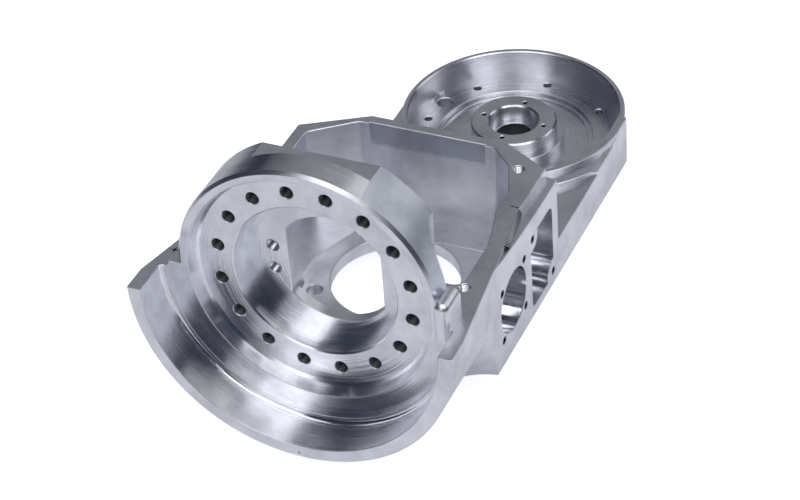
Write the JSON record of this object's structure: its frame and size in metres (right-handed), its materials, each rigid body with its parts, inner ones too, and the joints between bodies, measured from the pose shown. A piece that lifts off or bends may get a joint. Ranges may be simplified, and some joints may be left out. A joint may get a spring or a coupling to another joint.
{
  "type": "machined robot arm housing",
  "caption": "Milled aluminium arm housing: a bolted flange in a half-round shroud, an open box, and a dish with a hub at the far end.",
  "frame": {"origin": "centre of the flange's bolt circle, on its bolting face", "axes": "+Y along the flange axis into the body, +Z along the dish axis, out of the dish, +X to the side with the connector openings"},
  "size_m": [0.123, 0.2214, 0.1117],
  "materials": {
    "aluminium": "bare milled and turned aluminium"
  },
  "bodies": {
    "root": {"arm_housing": "aluminium"}
  },
  "joints": []
}
